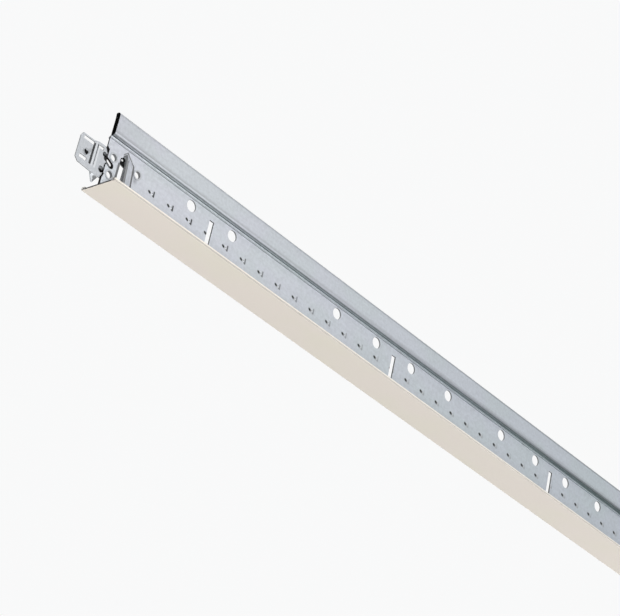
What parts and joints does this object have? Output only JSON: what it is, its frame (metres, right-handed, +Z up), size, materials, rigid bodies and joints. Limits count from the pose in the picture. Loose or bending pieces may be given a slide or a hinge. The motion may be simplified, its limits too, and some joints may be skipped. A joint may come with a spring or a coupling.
{
  "type": "ceiling cross tee",
  "caption": "Galvanised steel ceiling cross tee with a hollow bulb, slotted and punched web, cream capped face and stamped end clips.",
  "frame": {"origin": "middle of the tee's length, on the visible face, under the web", "axes": "+X along the tee, +Z up from the visible face to the bulb, +Y across the flanges"},
  "size_m": [1.235, 0.024, 0.0421],
  "materials": {
    "galvanised_strip": "galvanised, satin",
    "cream_paint": "matt cream coil coating",
    "clip_steel": "zinc plated, satin"
  },
  "bodies": {
    "root": {"tee_body": "galvanised_strip", "face_cap": "cream_paint", "end_clip_left": "clip_steel", "end_clip_right": "clip_steel"}
  },
  "joints": []
}
